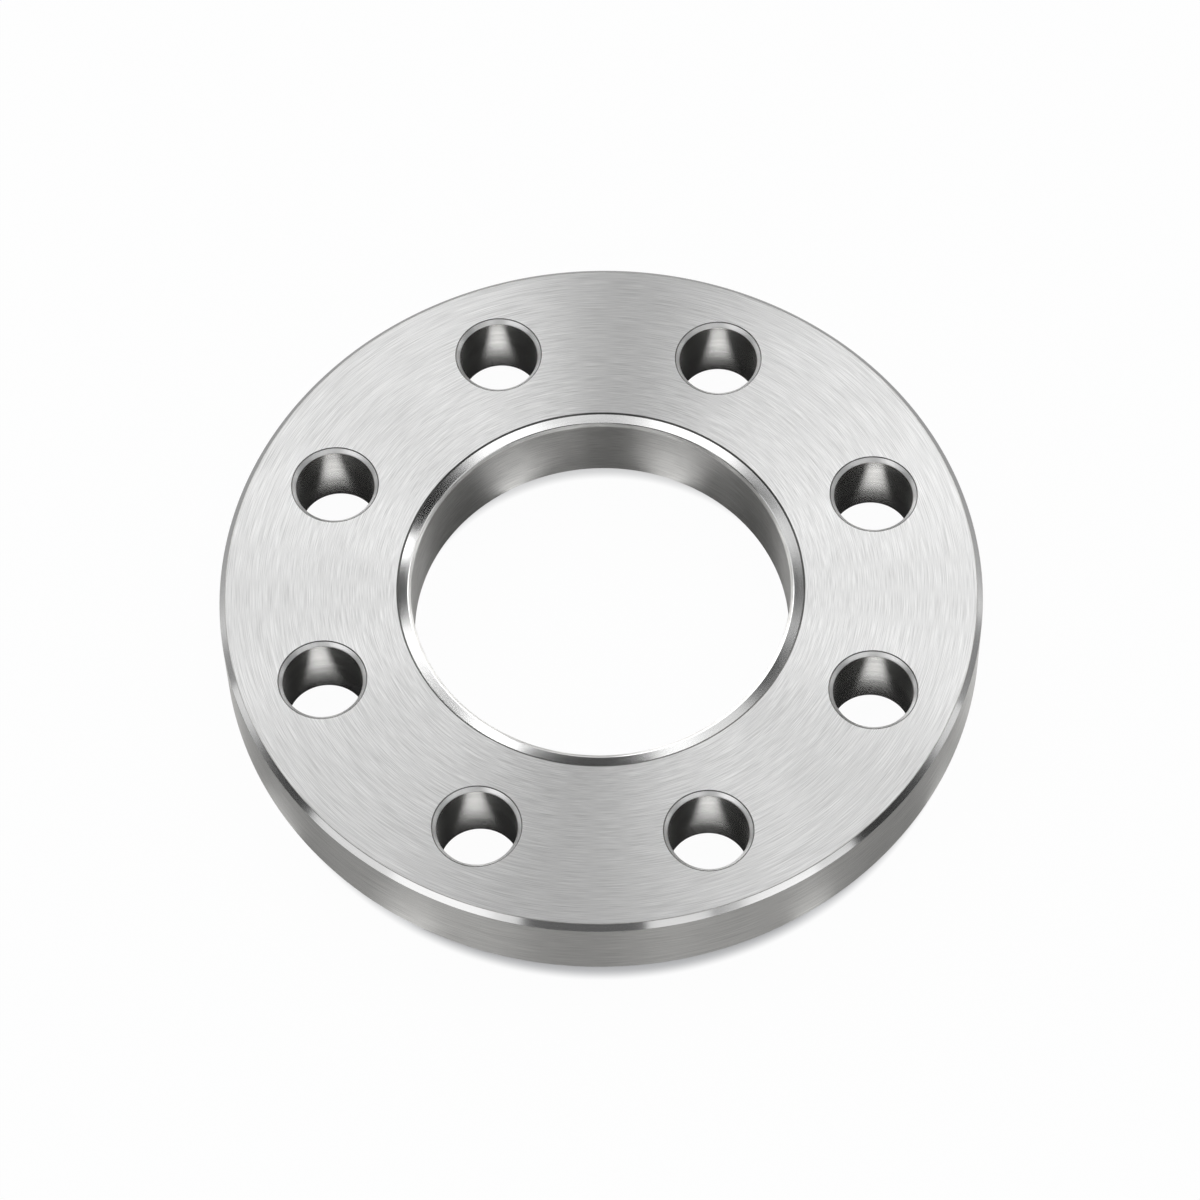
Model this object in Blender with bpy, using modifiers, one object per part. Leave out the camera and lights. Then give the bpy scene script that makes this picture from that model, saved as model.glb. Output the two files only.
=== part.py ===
# Lap joint flange: the loose steel ring that slides over a pipe and clamps the
# lap of its stub end against the mating flange. It is turned from one plate and
# drilled, so it is one solid. Metres, +Z up. The flat back face lies on Z = 0 with
# the origin at its centre, and +Z points to the face that carries the lap.

from math import cos, radians, sin, tan

import bmesh
import bpy
from mathutils import Matrix

# The ring is sized outwards from its bore. The seat that carries the lap runs
# from the eased bore corner to the bolt holes, and a flat rim land goes on from
# the bolt holes to the rim bevel.
THICKNESS = 0.0265

# Bore, with the eased corner that clears the fillet under the stub end's lap
BORE_DIAMETER = 0.1168
CORNER_WIDTH = 0.0010         # steep cone at the bore wall, measured along the radius
CORNER_SLOPE = radians(30.0)
RELIEF_WIDTH = 0.0031         # shallow polished land outside the cone
RELIEF_SLOPE = radians(7.0)
RELIEF_STEP = 0.0003          # 45 degree shoulder where the land starts below the face
BACK_BORE_CHAMFER = 0.0003

# Lap seat: flat between the relief and the mouths of the bolt holes
LAP_SEAT_WIDTH = 0.01445

# Bolt holes, which straddle the centre lines on a 181.5 mm circle
BOLT_HOLE_COUNT = 8
BOLT_HOLE_DIAMETER = 0.0245
FACE_HOLE_CHAMFER = 0.00125
BACK_HOLE_CHAMFER = 0.0008

# Rim, which comes out at 235 mm outside diameter
RIM_LAND_WIDTH = 0.01145      # flat between the mouths of the bolt holes and the bevel
FACE_RIM_CHAMFER = 0.0018     # 45 degree bevel round the rim on the lap side
BACK_RIM_CHAMFER = 0.0010     # 45 degree bevel round the rim on the back

# Roundness of the mesh, and how far a cutter stands clear of the faces it cuts
RING_STEPS = 160
HOLE_STEPS = 48
CUTTER_MARGIN = 0.004
MERGE_DISTANCE = 0.00001
SHARP_ANGLE = radians(20.0)

STEEL_COLOUR = (0.60, 0.60, 0.59, 1.0)
STEEL_ROUGHNESS = 0.28


def clear_scene():
    for old in list(bpy.data.objects):
        bpy.data.objects.remove(old, do_unlink=True)


def new_collection(name):
    collection = bpy.data.collections.new(name)
    bpy.context.scene.collection.children.link(collection)
    return collection


def steel_material():
    material = bpy.data.materials.new("turned_stainless_steel")
    material.use_nodes = True
    shader = material.node_tree.nodes["Principled BSDF"]
    shader.inputs["Base Color"].default_value = STEEL_COLOUR
    shader.inputs["Metallic"].default_value = 1.0
    shader.inputs["Roughness"].default_value = STEEL_ROUGHNESS
    material.diffuse_color = STEEL_COLOUR
    return material


def profile_mesh(name, points, closed):
    # A chain of edges in the XZ plane; each point is (radius, height).
    bm = bmesh.new()
    verts = [bm.verts.new((radius, 0.0, height)) for radius, height in points]
    for first, second in zip(verts, verts[1:]):
        bm.edges.new((first, second))
    if closed:
        bm.edges.new((verts[-1], verts[0]))
    mesh = bpy.data.meshes.new(name)
    bm.to_mesh(mesh)
    bm.free()
    return mesh


def turned_object(name, points, steps, closed, collection):
    turned = bpy.data.objects.new(name, profile_mesh(name, points, closed))
    collection.objects.link(turned)
    screw = turned.modifiers.new("turn", "SCREW")
    screw.axis = "Z"
    screw.angle = radians(360.0)
    screw.steps = steps
    screw.render_steps = steps
    screw.use_merge_vertices = True
    screw.merge_threshold = MERGE_DISTANCE
    return turned


def land_inner_radius():
    return BORE_DIAMETER / 2 + CORNER_WIDTH


def land_outer_radius():
    return land_inner_radius() + RELIEF_WIDTH


def mouth_radius():
    return BOLT_HOLE_DIAMETER / 2 + FACE_HOLE_CHAMFER


def bolt_circle_radius():
    return land_outer_radius() + RELIEF_STEP + LAP_SEAT_WIDTH + mouth_radius()


def rim_radius():
    return bolt_circle_radius() + mouth_radius() + RIM_LAND_WIDTH + FACE_RIM_CHAMFER


def ring_profile():
    # Down the rim, in across the back, up the bore, then out over the eased
    # corner, the relief land and its shoulder to the lap face.
    rim = rim_radius()
    bore = BORE_DIAMETER / 2
    land_top = THICKNESS - RELIEF_STEP
    land_foot = land_top - RELIEF_WIDTH * tan(RELIEF_SLOPE)
    corner_foot = land_foot - CORNER_WIDTH * tan(CORNER_SLOPE)
    return [
        (rim - FACE_RIM_CHAMFER, THICKNESS),
        (rim, THICKNESS - FACE_RIM_CHAMFER),
        (rim, BACK_RIM_CHAMFER),
        (rim - BACK_RIM_CHAMFER, 0.0),
        (bore + BACK_BORE_CHAMFER, 0.0),
        (bore, BACK_BORE_CHAMFER),
        (bore, corner_foot),
        (land_inner_radius(), land_foot),
        (land_outer_radius(), land_top),
        (land_outer_radius() + RELIEF_STEP, THICKNESS),
    ]


def hole_profile():
    # The cutter widens at 45 degrees through each face, so it cuts the hole
    # and both of its chamfers in one go.
    radius = BOLT_HOLE_DIAMETER / 2
    face_flare = radius + FACE_HOLE_CHAMFER + CUTTER_MARGIN
    back_flare = radius + BACK_HOLE_CHAMFER + CUTTER_MARGIN
    return [
        (0.0, THICKNESS + CUTTER_MARGIN),
        (face_flare, THICKNESS + CUTTER_MARGIN),
        (radius, THICKNESS - FACE_HOLE_CHAMFER),
        (radius, BACK_HOLE_CHAMFER),
        (back_flare, -CUTTER_MARGIN),
        (0.0, -CUTTER_MARGIN),
    ]


def add_bolt_hole_cutters(collection):
    pitch = radians(360.0) / BOLT_HOLE_COUNT
    reach = bolt_circle_radius()
    for number in range(BOLT_HOLE_COUNT):
        angle = (number + 0.5) * pitch
        name = "bolt_hole_cutter_%d" % (number + 1)
        cutter = turned_object(name, hole_profile(), HOLE_STEPS, False, collection)
        place = (reach * cos(angle), reach * sin(angle), 0.0)
        cutter.matrix_world = Matrix.Translation(place) @ Matrix.Rotation(angle, 4, "Z")
        cutter.display_type = "WIRE"
        cutter.hide_render = True


def cut_bolt_holes(ring, cutters):
    cut = ring.modifiers.new("bolt_holes", "BOOLEAN")
    cut.operation = "DIFFERENCE"
    cut.solver = "EXACT"
    cut.operand_type = "COLLECTION"
    cut.collection = cutters


def freeze(ring):
    # Keeps the turned and drilled shape as the ring's own mesh, so that its
    # round walls can be shaded smooth between crisp edges.
    depsgraph = bpy.context.evaluated_depsgraph_get()
    mesh = bpy.data.meshes.new_from_object(ring.evaluated_get(depsgraph))
    ring.modifiers.clear()
    ring.data = mesh
    mesh.shade_smooth()
    mesh.set_sharp_from_angle(angle=SHARP_ANGLE)


def build():
    clear_scene()
    flange = new_collection("lap_joint_flange")
    cutters = new_collection("cutters")
    ring = turned_object("flange_ring", ring_profile(), RING_STEPS, True, flange)
    ring.data.materials.append(steel_material())
    add_bolt_hole_cutters(cutters)
    cut_bolt_holes(ring, cutters)
    freeze(ring)


build()
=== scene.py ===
from math import cos, pi, radians, sin, tan

import bmesh
import bpy
from mathutils import Matrix, Vector


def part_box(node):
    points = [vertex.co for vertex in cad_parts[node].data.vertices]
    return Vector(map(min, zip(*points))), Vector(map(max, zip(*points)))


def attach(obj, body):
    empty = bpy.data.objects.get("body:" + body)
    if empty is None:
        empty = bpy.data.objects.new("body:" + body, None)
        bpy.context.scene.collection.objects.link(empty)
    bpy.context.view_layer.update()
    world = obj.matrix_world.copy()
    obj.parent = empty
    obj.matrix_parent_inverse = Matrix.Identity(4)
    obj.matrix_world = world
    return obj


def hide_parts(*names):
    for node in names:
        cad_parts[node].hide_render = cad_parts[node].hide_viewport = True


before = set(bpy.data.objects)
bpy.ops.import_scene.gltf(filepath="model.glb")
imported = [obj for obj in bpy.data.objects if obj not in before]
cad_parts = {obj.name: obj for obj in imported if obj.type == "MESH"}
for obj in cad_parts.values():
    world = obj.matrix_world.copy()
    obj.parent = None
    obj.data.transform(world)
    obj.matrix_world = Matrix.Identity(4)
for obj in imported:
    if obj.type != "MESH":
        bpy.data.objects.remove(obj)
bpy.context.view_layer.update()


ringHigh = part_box("flange_ring")[1]


# small helpers for meshes and shader nodes

mergeDistance = 0.00001    # points closer than this become one


def freeze(piece):
    # swaps the live modifiers for the mesh that they make
    depsgraph = bpy.context.evaluated_depsgraph_get()
    mesh = bpy.data.meshes.new_from_object(piece.evaluated_get(depsgraph))
    piece.modifiers.clear()
    piece.data = mesh


def turnedPiece(name, profile, steps, closed):
    # spins (radius, height) points round Z with a Screw modifier
    bm = bmesh.new()
    verts = [bm.verts.new((radius, 0, height)) for radius, height in profile]
    for first, second in zip(verts, verts[1:]):
        bm.edges.new((first, second))
    if closed:
        bm.edges.new((verts[-1], verts[0]))
    mesh = bpy.data.meshes.new(name)
    bm.to_mesh(mesh)
    bm.free()
    piece = bpy.data.objects.new(name, mesh)
    bpy.context.scene.collection.objects.link(piece)
    screw = piece.modifiers.new("turn", "SCREW")
    screw.steps = steps
    screw.render_steps = steps
    screw.use_merge_vertices = True
    screw.merge_threshold = mergeDistance
    freeze(piece)
    return piece


def softenCorners(profile, reach):
    # cuts each corner of a closed profile back by a small reach on both of its sides
    softened = []
    for index, corner in enumerate(profile):
        here = Vector(corner)
        for other in (profile[index - 1], profile[(index + 1) % len(profile)]):
            way = Vector(other) - here
            softened.append(tuple(here + way.normalized() * reach))
    return softened


def addNode(tree, kind, **settings):
    node = tree.nodes.new(kind)
    for key, value in settings.items():
        if key in node.inputs:
            node.inputs[key].default_value = value
        else:
            setattr(node, key, value)
    return node


def join(tree, source, output, target, socket):
    tree.links.new(source.outputs[output], target.inputs[socket])


# the ring itself, at the sizes that the CAD part has

ring = {
    "rimBevel": 0.0018,
    "backRimBevel": 0.0010,
    "boreRadius": 0.0584,
    "cornerWidth": 0.0010,    # steep cone at the bore wall
    "cornerSlope": radians(30.0),
    "landWidth": 0.0031,      # shallow polished land outside the cone
    "landSlope": radians(7.0),
    "landStep": 0.0003,       # shoulder where the land starts below the face
    "backBoreBevel": 0.0003,
    "boltCircle": 0.09075,    # radius through the bolt hole centres
    "holes": 8,
    "holeRadius": 0.01225,
    "holeBevel": 0.00125,
    "backHoleBevel": 0.0008,
    "edgeBreak": 0.00014,     # the tiny flat that deburring leaves on a corner
    "breakSlope": radians(67.5),    # of that flat where a hole's bevel meets a face
    "drillMargin": 0.001,     # how far a drill stands clear of the faces
    "ringSteps": 480,
    "holeSteps": 120,
    "sharpAngle": radians(3.4),     # edges that turn by more than this stay crisp
}
rimRadius = ringHigh.x
faceHeight = ringHigh.z
landInner = ring["boreRadius"] + ring["cornerWidth"]
landOuter = landInner + ring["landWidth"]


def ringProfile():
    rim, bore = rimRadius, ring["boreRadius"]
    landTop = faceHeight - ring["landStep"]
    landFoot = landTop - ring["landWidth"] * tan(ring["landSlope"])
    cornerFoot = landFoot - ring["cornerWidth"] * tan(ring["cornerSlope"])
    corners = [
        (rim - ring["rimBevel"], faceHeight),
        (rim, faceHeight - ring["rimBevel"]),
        (rim, ring["backRimBevel"]),
        (rim - ring["backRimBevel"], 0),
        (bore + ring["backBoreBevel"], 0),
        (bore, ring["backBoreBevel"]),
        (bore, cornerFoot),
        (landInner, landFoot),
        (landOuter, landTop),
        (landOuter + ring["landStep"], faceHeight),
    ]
    return softenCorners(corners, ring["edgeBreak"])


def holeProfile():
    # the cutter flares at 45 degrees, then flatter still where it meets a face
    radius, small, margin = ring["holeRadius"], ring["edgeBreak"], ring["drillMargin"]
    flat = tan(ring["breakSlope"])
    mouth = radius + ring["holeBevel"]
    back = radius + ring["backHoleBevel"]
    return [
        (0, faceHeight + margin),
        (mouth - small + (margin + small) * flat, faceHeight + margin),
        (mouth - small, faceHeight - small),
        (radius + small, faceHeight - ring["holeBevel"] + small),
        (radius, faceHeight - ring["holeBevel"] - small),
        (radius, ring["backHoleBevel"] + small),
        (radius + small, ring["backHoleBevel"] - small),
        (back - small, small),
        (back - small + (margin + small) * flat, -margin),
        (0, -margin),
    ]


def holeAngle(number):
    return (number + 0.5) * 2 * pi / ring["holes"]


def holePlace(number, height):
    angle = holeAngle(number)
    return (ring["boltCircle"] * cos(angle), ring["boltCircle"] * sin(angle), height)


def drillHoles(piece):
    for number in range(ring["holes"]):
        drill = turnedPiece("drill", holeProfile(), ring["holeSteps"], False)
        turn = Matrix.Rotation(holeAngle(number), 4, "Z")
        drill.matrix_world = Matrix.Translation(holePlace(number, 0)) @ turn
        cut = piece.modifiers.new("hole", "BOOLEAN")
        cut.operation = "DIFFERENCE"
        cut.solver = "EXACT"
        cut.object = drill
        freeze(piece)
        bpy.data.objects.remove(drill, do_unlink=True)


# finishes of the steel: each is the look of one turned or drilled surface. Shade scales the
# colour, so that some copies of the one steel are painted lighter or darker, as painted light
# and shade; the two spreads are how far the marks vary tone and roughness, grain is how far the
# brushed highlight is stretched, and more streaks or lines make the marks finer

paleSteel = (0.68, 0.68, 0.677)
warmSteel = (0.685, 0.68, 0.664)    # turned and drilled walls are a shade warmer

finishes = {
    "brushed_face": {
        "colour": paleSteel, "shade": 1.04, "toneSpread": 0.28,
        "roughness": 0.36, "roughSpread": 0.03, "grain": 0.9, "bump": 0.20,
        "along": "radius", "streaks": 9, "lines": 6000,
    },
    "polished_bevel": {
        "colour": paleSteel, "shade": 1.0, "toneSpread": 0.04,
        "roughness": 0.11, "roughSpread": 0.03, "grain": 0.3, "bump": 0.03,
        "along": "radius", "streaks": 3, "lines": 900,
    },
    "turned_rim": {
        "colour": warmSteel, "shade": 0.97, "toneSpread": 0.28,
        "roughness": 0.56, "roughSpread": 0.03, "grain": 1.0, "bump": 0.20,
        "along": "height", "streaks": 9, "lines": 6000,
    },
    # painted light: the bore's colour is painted lighter than the face's
    "turned_bore": {
        "colour": warmSteel, "shade": 1.16, "toneSpread": 0.28,
        "roughness": 0.36, "roughSpread": 0.03, "grain": 1.0, "bump": 0.20,
        "along": "height", "streaks": 9, "lines": 6000,
    },
    "drilled_hole": {         # reamed, so smoother than the turned walls
        "colour": warmSteel, "shade": 1.0, "toneSpread": 0.10,
        "roughness": 0.23, "roughSpread": 0.02, "grain": 1.0, "bump": 0.03,
        "along": "height", "streaks": 9, "lines": 1500,
    },
    "painted_shade_line": {            # a thin line painted dark, as painted shade, at the land's shoulder and round each bolt hole's mouth
        "colour": warmSteel, "shade": 0.18, "toneSpread": 0.28,
        "roughness": 0.36, "roughSpread": 0.03, "grain": 1.0, "bump": 0.20,
        "along": "height", "streaks": 9, "lines": 6000,
    },
    "drilled_bevel_painted_light": {        # painted light: its colour is painted far brighter than the rest of the steel
        "colour": paleSteel, "shade": 1.44, "toneSpread": 0.04,
        "roughness": 0.40, "roughSpread": 0.03, "grain": 0.3, "bump": 0.03,
        "along": "radius", "streaks": 3, "lines": 900,
    },
}

# the turning marks in all of them: fine ones that vary tone and height, and broad ones that
# vary the roughness; streaks and lines are against those of the finish
fineMarks = {"detail": 2.5, "softness": 0.6, "streaks": 1, "lines": 1, "range": (0.25, 0.75)}
broadMarks = {"detail": 2, "softness": 0.5, "streaks": 0.3, "lines": 0.15, "range": (0.3, 0.7)}
markDepth = 0.00002
quarterTurn = 0.25            # lays the brushed highlight across the marks


def grainVector(tree, along, streaks, lines):
    # long thin streaks that follow the turning: along the radius or the height they
    # change quickly, round the axis slowly
    place = addNode(tree, "ShaderNodeTexCoord")
    flat = addNode(tree, "ShaderNodeVectorMath", operation="MULTIPLY")
    flat.inputs[1].default_value = (1, 1, 0)
    join(tree, place, "Object", flat, 0)
    heading = addNode(tree, "ShaderNodeVectorMath", operation="NORMALIZE")
    join(tree, flat, 0, heading, 0)
    spread = addNode(tree, "ShaderNodeVectorMath", operation="SCALE", Scale=streaks)
    join(tree, heading, 0, spread, 0)
    apart = addNode(tree, "ShaderNodeSeparateXYZ")
    join(tree, spread, 0, apart, 0)
    across = addNode(tree, "ShaderNodeMath", operation="MULTIPLY")
    across.inputs[1].default_value = lines
    if along == "radius":
        reach = addNode(tree, "ShaderNodeVectorMath", operation="LENGTH")
        join(tree, flat, 0, reach, 0)
        join(tree, reach, "Value", across, 0)
    else:
        height = addNode(tree, "ShaderNodeSeparateXYZ")
        join(tree, place, "Object", height, 0)
        join(tree, height, "Z", across, 0)
    grain = addNode(tree, "ShaderNodeCombineXYZ")
    join(tree, apart, "X", grain, "X")
    join(tree, apart, "Y", grain, "Y")
    join(tree, across, 0, grain, "Z")
    return grain


def turningMarks(tree, look, marks):
    noise = addNode(tree, "ShaderNodeTexNoise", Scale=1.0, Detail=marks["detail"],
                    Roughness=marks["softness"])
    grain = grainVector(tree, look["along"], look["streaks"] * marks["streaks"],
                        look["lines"] * marks["lines"])
    join(tree, grain, 0, noise, "Vector")
    return noise


def varied(tree, noise, marks, middle, reach):
    # turns the noise of some marks into values round a middle one
    node = addNode(tree, "ShaderNodeMapRange")
    node.inputs["From Min"].default_value = marks["range"][0]
    node.inputs["From Max"].default_value = marks["range"][1]
    node.inputs["To Min"].default_value = middle - reach
    node.inputs["To Max"].default_value = middle + reach
    join(tree, noise, "Fac", node, "Value")
    return node


def steelFinish(name, look):
    material = bpy.data.materials.new(name)
    material.use_nodes = True
    tree = material.node_tree
    shader = tree.nodes["Principled BSDF"]
    shader.inputs["Metallic"].default_value = 1.0
    shader.inputs["Anisotropic"].default_value = look["grain"]
    shader.inputs["Anisotropic Rotation"].default_value = quarterTurn
    tangent = addNode(tree, "ShaderNodeTangent", direction_type="RADIAL", axis="Z")
    join(tree, tangent, "Tangent", shader, "Tangent")

    fine = turningMarks(tree, look, fineMarks)
    broad = turningMarks(tree, look, broadMarks)

    tone = varied(tree, fine, fineMarks, 1.0, look["toneSpread"])
    colour = addNode(tree, "ShaderNodeVectorMath", operation="SCALE")
    colour.inputs[0].default_value = [part * look["shade"] for part in look["colour"]]
    join(tree, tone, "Result", colour, "Scale")
    join(tree, colour, 0, shader, "Base Color")

    rough = varied(tree, broad, broadMarks, look["roughness"], look["roughSpread"])
    join(tree, rough, "Result", shader, "Roughness")

    bump = addNode(tree, "ShaderNodeBump", Strength=look["bump"], Distance=markDepth)
    join(tree, fine, "Fac", bump, "Height")
    join(tree, bump, "Normal", shader, "Normal")
    return material


# where each finish lies: tilt is how far a face looks up or down, 0 for a wall and 1 for a
# flat face, and rimReach is how far in from the rim its finishes go
painting = {
    "flatTilt": 0.999,
    "mouthTilt": 0.85,        # the sharp edge round a bolt hole's mouth
    "bevelTilt": (0.6, 0.8),    # the bevels round the rim
    "wallTilt": 0.02,
    "rimReach": 0.003,
}


def finishFor(radius, tilt):
    small = ring["edgeBreak"]
    bevelLow, bevelHigh = painting["bevelTilt"]
    if tilt > painting["flatTilt"]:
        return "brushed_face"
    # the land's shoulder and the edge round each bolt hole's mouth get the line painted dark as
    # shade
    if landOuter - small < radius < landOuter + ring["landStep"] - small:
        return "painted_shade_line"
    if radius < landInner - small:
        return "turned_bore"
    if radius < landOuter:
        return "polished_bevel"
    if radius > rimRadius - painting["rimReach"]:
        return "polished_bevel" if bevelLow < tilt < bevelHigh else "turned_rim"
    if tilt > painting["mouthTilt"]:
        return "painted_shade_line"
    return "drilled_bevel_painted_light" if tilt > painting["wallTilt"] else "drilled_hole"


def paintSurfaces(piece):
    names = list(finishes)
    piece.data.materials.clear()
    for name in names:
        piece.data.materials.append(steelFinish(name, finishes[name]))
    for polygon in piece.data.polygons:
        finish = finishFor(polygon.center.xy.length, abs(polygon.normal.z))
        polygon.material_index = names.index(finish)


def makeRing():
    piece = turnedPiece("turned_ring", ringProfile(), ring["ringSteps"], True)
    drillHoles(piece)
    paintSurfaces(piece)
    piece.data.shade_smooth()
    piece.data.set_sharp_from_angle(angle=ring["sharpAngle"])
    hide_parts("flange_ring")
    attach(piece, "root")


makeRing()
print("ring made, turned and drilled")


# floor, backdrop and studio

studio = {
    "floorSize": 6.0,
    "floorHeight": -0.0002,
    "floorColour": (0.50, 0.51, 0.53),
    "worldStrength": 1.0,
    "nearFloorLevel": 0.45,   # painted shade: the metal sees the floor beside the ring darkened to this level
    "glowStart": 0.040,       # up to this far out
    "glowEnd": 0.900,         # and plain white from here on
    # painted shadow: the camera sees the floor's own lit grey, in place of plain white, through
    # masks set by these values: a little anywhere, more under the back of the bore and just in
    # front of the rim
    "leastShade": 0.03,       # how much of the floor's shade the camera sees anywhere
    "boreShade": 0.50,        # the same under the back of the bore
    "rimShade": 0.80,         # the same just in front of the rim
    "shadowShift": (0.0010, -0.0085),    # the shadow falls this far to the front
    "shadowInset": 0.0063,    # and is this much narrower than the metal
    "shadowSoftness": 0.0022,
    "shadowTuck": 0.002,      # how far the shadow reaches in under the metal
}

# dark flags that only the metal sees, round the ring; azimuth 0 is over -Y, where the
# camera stands; sizes are per metre of distance, levels against a white room of 1
flags = {
    "flag_front": {"azimuth": -3, "elevation": 24, "size": (0.46, 0.76), "level": 0.15},
    "flag_front_right": {"azimuth": 42, "elevation": 41, "size": (0.52, 0.56), "level": 0.02},
    "flag_front_left": {"azimuth": -54, "elevation": 46, "size": (0.32, 0.60), "level": 0.02},
    "flag_right": {"azimuth": 81, "elevation": 39, "size": (0.70, 1.06), "level": 0.05},
    "flag_left": {"azimuth": -84, "elevation": 39, "size": (0.54, 1.20), "level": 0.05},
    "flag_right_low": {"azimuth": 122, "elevation": 18, "size": (0.34, 0.70), "level": 0.15},
    "flag_left_low": {"azimuth": -122, "elevation": 12, "size": (0.34, 0.56), "level": 0.18},
    "flag_right_foot": {"azimuth": 106, "elevation": 3, "size": (0.28, 0.16), "level": 0.30},
    "flag_left_foot": {"azimuth": -107, "elevation": 3, "size": (0.24, 0.16), "level": 0.30},
    "flag_top_left": {"azimuth": -44, "elevation": 81, "size": (0.52, 0.76), "level": 0.06},
    "flag_top": {"azimuth": 3, "elevation": 84, "size": (0.12, 0.16), "level": 0.33},
    "strip_rear": {"azimuth": 182, "elevation": 40, "size": (0.10, 0.36), "level": 0.03},
    "strip_rear_high": {"azimuth": 178.5, "elevation": 57, "size": (0.18, 0.22), "level": 0.02},
    "strip_right_low": {"azimuth": 164, "elevation": 58.4, "size": (0.16, 0.07), "level": 0.02},
    "strip_right_high": {"azimuth": 163, "elevation": 65, "size": (0.12, 0.10), "level": 0.02},
    "strip_left_low": {"azimuth": -163, "elevation": 52, "size": (0.08, 0.10), "level": 0.02},
    "strip_left": {"azimuth": -162, "elevation": 58, "size": (0.26, 0.06), "level": 0.03},
    "strip_left_high": {"azimuth": -151, "elevation": 65, "size": (0.12, 0.06), "level": 0.02},
}
flagDistance = 5.0

# painted shade: a dark card under the ring that only its walls see, standing for the shaded
# floor under the ring; margin is how far it stays inside the rim
paintedShadeCard = {"level": 0.08, "margin": 0.004, "height": -0.0001, "sides": 96}

# painted light and shade: what the wall of a bolt hole sees through the hole is a glowing
# patch, far brighter than the white room in the middle and painted dark towards its edge, which
# the wall mirrors as a bright streak
holePatch = {
    "level": 2.8,
    "edgeLevel": 0.02,
    "brightRadius": 0.0020,
    "darkRadius": 0.0042,
    "radius": 0.0135,
    "height": -0.00005,
    "sides": 48,
}

# the same for the bore and the rim: painted light, glowing strips on the floor that run away
# from the foot of the wall, at an angle round the axis and with a heading, and that it mirrors
# as streaks
boreStrips = {
    "bore_strip_left": {"angle": 122, "heading": -24, "size": (0.020, 0.020), "level": 0.95},
    "bore_strip_right": {"angle": 68, "heading": -134, "size": (0.020, 0.022), "level": 0.90},
}
rimStrips = {
    "rim_strip_right": {"angle": -57, "heading": -24, "size": (0.024, 0.024), "level": 1.6},
    "rim_strip_far_right": {"angle": -30, "heading": 30, "size": (0.024, 0.014), "level": 1.3},
    "rim_strip_left": {"angle": -117, "heading": -144, "size": (0.024, 0.036), "level": 1.7},
    "rim_strip_far_left": {"angle": -142, "heading": 166, "size": (0.024, 0.030), "level": 1.6},
}
stripFade = {"start": 0.05, "end": 0.5}    # from its middle line, in shares of its width
stripHeight = -0.00006

# softboxes, each an area lamp whose brightness is given against the white room
lamps = {
    "softbox_rear_right": {"azimuth": 155, "elevation": 45, "size": (0.48, 0.70), "level": 1.5},
    "softbox_rear_left": {"azimuth": -153, "elevation": 24, "size": (0.72, 0.84), "level": 1.4},
    "softbox_front_right": {"azimuth": 43, "elevation": 16, "size": (0.30, 0.36), "level": 0.4},
    "softbox_front_left": {"azimuth": -36, "elevation": 15, "size": (0.40, 0.36), "level": 0.4},
    "glint_rear_left": {"azimuth": -174, "elevation": 46, "size": (0.08, 0.12), "level": 1.2},
    "glint_rear_right": {"azimuth": 175, "elevation": 48, "size": (0.10, 0.10), "level": 1.2},
    "glint_top_right": {"azimuth": 164, "elevation": 71, "size": (0.12, 0.12), "level": 1.0},
    "glint_top_left": {"azimuth": -160, "elevation": 70, "size": (0.10, 0.10), "level": 1.0},
}
lampDistance = 6.0


def aim(piece, azimuth, elevation, distance, target=Vector((0, 0, 0))):
    # sets a piece at this distance from the target, looking at it
    a, e = radians(azimuth), radians(elevation)
    out = Vector((sin(a) * cos(e), -cos(a) * cos(e), sin(e)))
    piece.location = target + out * distance
    piece.rotation_mode = "QUATERNION"
    piece.rotation_quaternion = out.to_track_quat("Z", "Y")


def ramp(tree, source, output, start, end, low, high):
    # a smooth step from low to high between two values
    node = addNode(tree, "ShaderNodeMapRange", interpolation_type="SMOOTHSTEP")
    node.inputs["From Min"].default_value = start
    node.inputs["From Max"].default_value = end
    node.inputs["To Min"].default_value = low
    node.inputs["To Max"].default_value = high
    join(tree, source, output, node, "Value")
    return node


def mathNode(tree, operation, first, second):
    node = addNode(tree, "ShaderNodeMath", operation=operation)
    for index, item in enumerate((first, second)):
        if isinstance(item, tuple):
            join(tree, item[0], item[1], node, index)
        else:
            node.inputs[index].default_value = item
    return node


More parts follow.
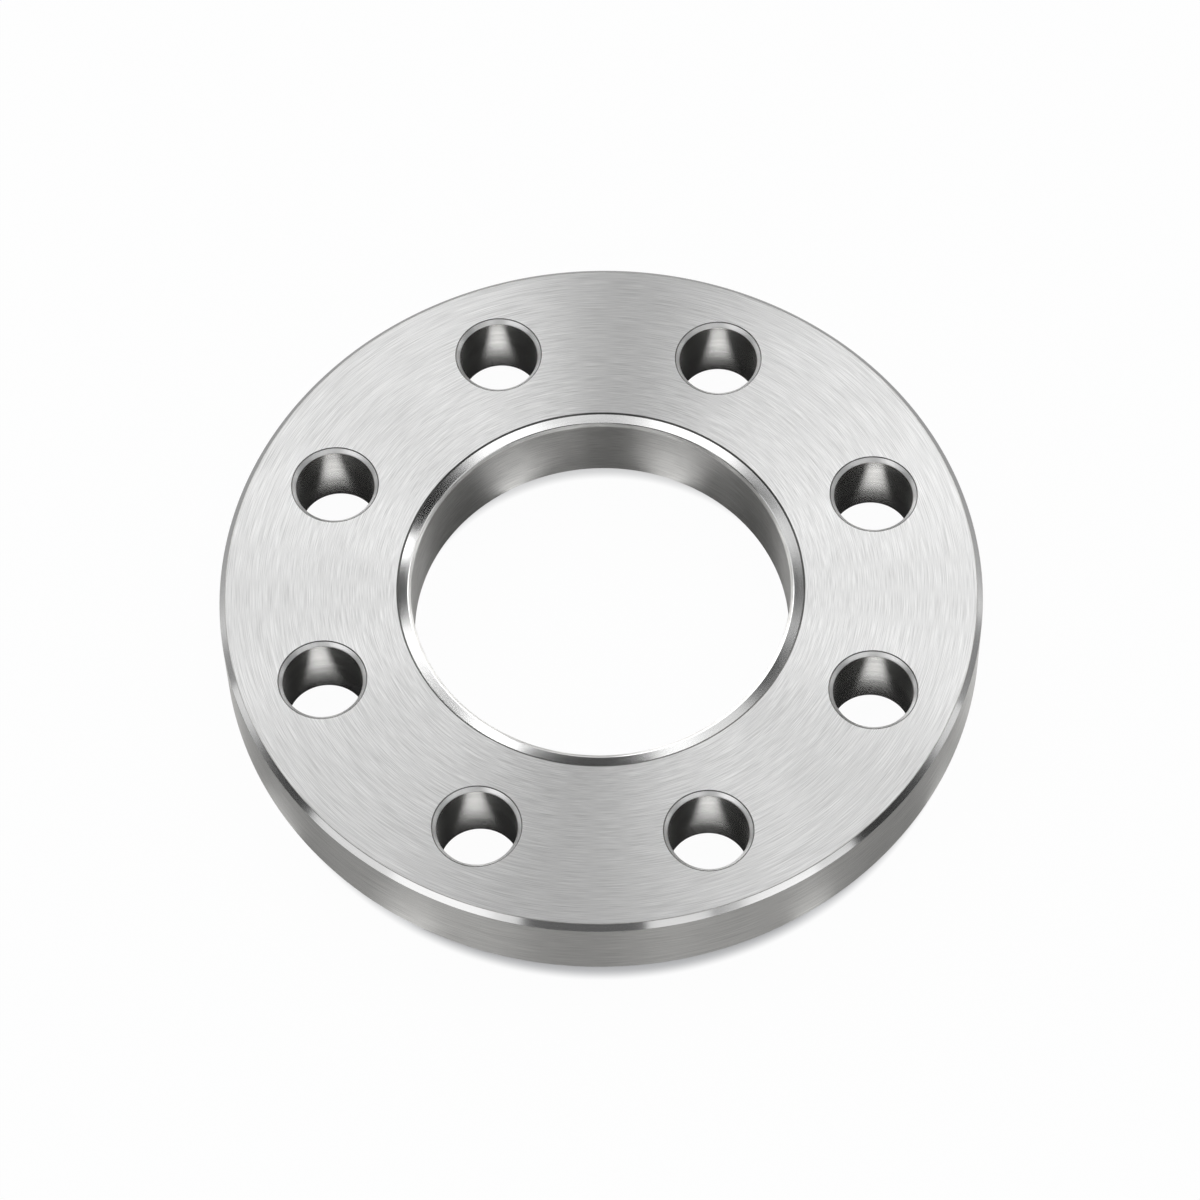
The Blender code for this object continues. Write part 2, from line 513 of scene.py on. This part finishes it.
def makeFloor():
    spot = (0, 0, studio["floorHeight"])
    bpy.ops.mesh.primitive_plane_add(size=studio["floorSize"], location=spot)
    floor = bpy.context.object
    floor.name = "studio_floor"
    material = bpy.data.materials.new("white_floor")
    material.use_nodes = True
    tree = material.node_tree
    shader = tree.nodes["Principled BSDF"]
    shader.inputs["Base Color"].default_value = (*studio["floorColour"], 1)
    shader.inputs["Roughness"].default_value = 1.0
    shader.inputs["Specular IOR Level"].default_value = 0.0

    place = addNode(tree, "ShaderNodeTexCoord")
    radius = addNode(tree, "ShaderNodeVectorMath", operation="LENGTH")
    join(tree, place, "Object", radius, 0)
    moved = addNode(tree, "ShaderNodeVectorMath", operation="SUBTRACT")
    moved.inputs[1].default_value = (*studio["shadowShift"], 0)
    join(tree, place, "Object", moved, 0)
    fall = addNode(tree, "ShaderNodeVectorMath", operation="LENGTH")
    join(tree, moved, 0, fall, 0)
    # a painted shadow mask from circles moved to the front: in it the camera sees the floor's
    # lit grey shading instead of plain white
    rim, bore = rimRadius, ring["boreRadius"]
    soft, tuck = studio["shadowSoftness"], studio["shadowTuck"]
    rimEdge, boreEdge = rim - studio["shadowInset"], bore + studio["shadowInset"]
    rimShade = ramp(tree, fall, "Value", rimEdge - soft, rimEdge + soft,
                    studio["rimShade"], 0)
    outside = mathNode(tree, "GREATER_THAN", (radius, "Value"), rim - tuck)
    boreShade = ramp(tree, fall, "Value", boreEdge - soft, boreEdge + soft,
                     0, studio["boreShade"])
    inBore = mathNode(tree, "LESS_THAN", (radius, "Value"), bore + tuck)
    rimPart = mathNode(tree, "MULTIPLY", (rimShade, "Result"), (outside, 0))
    borePart = mathNode(tree, "MULTIPLY", (boreShade, "Result"), (inBore, 0))
    shade = mathNode(tree, "MAXIMUM", (rimPart, 0), (borePart, 0))
    shade = mathNode(tree, "MAXIMUM", (shade, 0), studio["leastShade"])
    white = mathNode(tree, "SUBTRACT", 1.0, (shade, 0))

    light = addNode(tree, "ShaderNodeLightPath")
    direct = mathNode(tree, "MAXIMUM", (light, "Is Camera Ray"), (light, "Is Transmission Ray"))
    directShare = mathNode(tree, "MULTIPLY", (direct, 0), (white, 0))
    share = mathNode(tree, "MAXIMUM", (directShare, 0), (light, "Is Glossy Ray"))
    # painted shade: what the metal mirrors of the floor is darker near the ring
    mirrored = ramp(tree, radius, "Value", rim + studio["glowStart"], rim + studio["glowEnd"],
                    studio["nearFloorLevel"], 1)
    level = mathNode(tree, "MAXIMUM", (direct, 0), (mirrored, "Result"))

    glow = addNode(tree, "ShaderNodeEmission", Color=(1, 1, 1, 1))
    join(tree, level, 0, glow, "Strength")
    mix = addNode(tree, "ShaderNodeMixShader")
    join(tree, share, 0, mix, "Fac")
    join(tree, shader, "BSDF", mix, 1)
    join(tree, glow, "Emission", mix, 2)
    join(tree, mix, "Shader", tree.nodes["Material Output"], "Surface")
    floor.data.materials.append(material)


def makeWorld():
    world = bpy.data.worlds.new("studio_world")
    bpy.context.scene.world = world
    world.use_nodes = True
    background = world.node_tree.nodes["Background"]
    background.inputs["Color"].default_value = (1, 1, 1, 1)
    background.inputs["Strength"].default_value = studio["worldStrength"]


def glowMaterial(name, level):
    material = bpy.data.materials.new(name)
    material.cycles.emission_sampling = "NONE"    # seen in reflections, but no lamp
    material.use_nodes = True
    tree = material.node_tree
    glow = addNode(tree, "ShaderNodeEmission", Color=(level, level, level, 1), Strength=1.0)
    join(tree, glow, "Emission", tree.nodes["Material Output"], "Surface")
    return material


def showToMetalOnly(card):
    card.visible_camera = False
    card.visible_diffuse = False
    card.visible_shadow = False
    card.visible_transmission = False


def dressCard(name, material):
    # makes a card of the plane or disc that was added last
    card = bpy.context.object
    card.name = name
    card.data.materials.append(material)
    showToMetalOnly(card)
    return card


def makeFlags():
    for name, flag in flags.items():
        bpy.ops.mesh.primitive_plane_add(size=1)
        card = dressCard(name, glowMaterial(name, flag["level"]))
        card.scale = (flag["size"][0] * flagDistance, flag["size"][1] * flagDistance, 1)
        aim(card, flag["azimuth"], flag["elevation"], flagDistance)


def makePaintedShadeCard():
    reach = rimRadius - paintedShadeCard["margin"]
    bpy.ops.mesh.primitive_circle_add(vertices=paintedShadeCard["sides"], radius=reach,
                                      fill_type="NGON", location=(0, 0, paintedShadeCard["height"]))
    dressCard("painted_shade_under_ring", glowMaterial("painted_shade_under_ring", paintedShadeCard["level"]))


def makeStrips(strips, radius, edgeLevel):
    for name, strip in strips.items():
        material = glowMaterial(name, 1.0)
        tree = material.node_tree
        place = addNode(tree, "ShaderNodeTexCoord")
        side = addNode(tree, "ShaderNodeSeparateXYZ")
        join(tree, place, "Object", side, 0)
        away = mathNode(tree, "ABSOLUTE", (side, "Y"), 0)
        level = ramp(tree, away, 0, stripFade["start"], stripFade["end"],
                     strip["level"], edgeLevel)
        join(tree, level, "Result", tree.nodes["Emission"], "Strength")
        angle, heading = radians(strip["angle"]), radians(strip["heading"])
        foot = Vector((cos(angle), sin(angle), 0)) * radius
        middle = foot + Vector((cos(heading), sin(heading), 0)) * strip["size"][0] / 2
        spot = (middle.x, middle.y, stripHeight)
        bpy.ops.mesh.primitive_plane_add(size=1, location=spot, rotation=(0, 0, heading))
        card = dressCard(name, material)
        card.scale = (*strip["size"], 1)


def makeHolePatches():
    material = glowMaterial("painted_light_and_shade_under_hole", 1.0)
    tree = material.node_tree
    place = addNode(tree, "ShaderNodeTexCoord")
    reach = addNode(tree, "ShaderNodeVectorMath", operation="LENGTH")
    join(tree, place, "Object", reach, 0)
    level = ramp(tree, reach, "Value", holePatch["brightRadius"], holePatch["darkRadius"],
                 holePatch["level"], holePatch["edgeLevel"])
    join(tree, level, "Result", tree.nodes["Emission"], "Strength")
    for number in range(ring["holes"]):
        spot = holePlace(number, holePatch["height"])
        bpy.ops.mesh.primitive_circle_add(vertices=holePatch["sides"], fill_type="NGON",
                                          radius=holePatch["radius"], location=spot)
        dressCard("floor_through_hole_%d" % (number + 1), material)


makeFloor()
makeWorld()
makeFlags()
makePaintedShadeCard()
makeHolePatches()
makeStrips(boreStrips, ring["boreRadius"], paintedShadeCard["level"])
makeStrips(rimStrips, rimRadius, studio["nearFloorLevel"])
print("studio made")


# lamps and camera

def makeLamps():
    for name, lamp in lamps.items():
        data = bpy.data.lights.new(name, "AREA")
        data.shape = "RECTANGLE"
        data.size, data.size_y = (side * lampDistance for side in lamp["size"])
        data.energy = lamp["level"] * pi * data.size * data.size_y
        piece = bpy.data.objects.new(name, data)
        bpy.context.scene.collection.objects.link(piece)
        piece.visible_camera = False
        aim(piece, lamp["azimuth"], lamp["elevation"], lampDistance)


shot = {
    "azimuth": 3.1,
    "elevation": 59.9,
    "roll": -1.7,
    "distance": 1.5275,
    "lens": 148.95,
    "clip": (0.05, 20),
    "aimRight": -0.00022,     # the ring sits a little right of and above the middle
    "aimUp": -0.00437,
}


def makeCamera():
    data = bpy.data.cameras.new("camera")
    data.lens = shot["lens"]
    data.clip_start, data.clip_end = shot["clip"]
    piece = bpy.data.objects.new("camera", data)
    bpy.context.scene.collection.objects.link(piece)
    target = Vector((0, 0, faceHeight))
    aim(piece, shot["azimuth"], shot["elevation"], shot["distance"], target)
    roll = Matrix.Rotation(radians(shot["roll"]), 3, "Z")
    turn = piece.rotation_quaternion.to_matrix() @ roll
    right, up = turn.col[0], turn.col[1]
    middle = target + right * shot["aimRight"] + up * shot["aimUp"]
    back = (piece.location - middle).normalized()
    upright = back.to_track_quat("Z", "Y").to_matrix()
    piece.rotation_quaternion = (upright @ roll).to_quaternion()
    bpy.context.scene.camera = piece


makeLamps()
makeCamera()
bpy.context.scene.view_settings.view_transform = "Standard"
print("lamps and camera made")
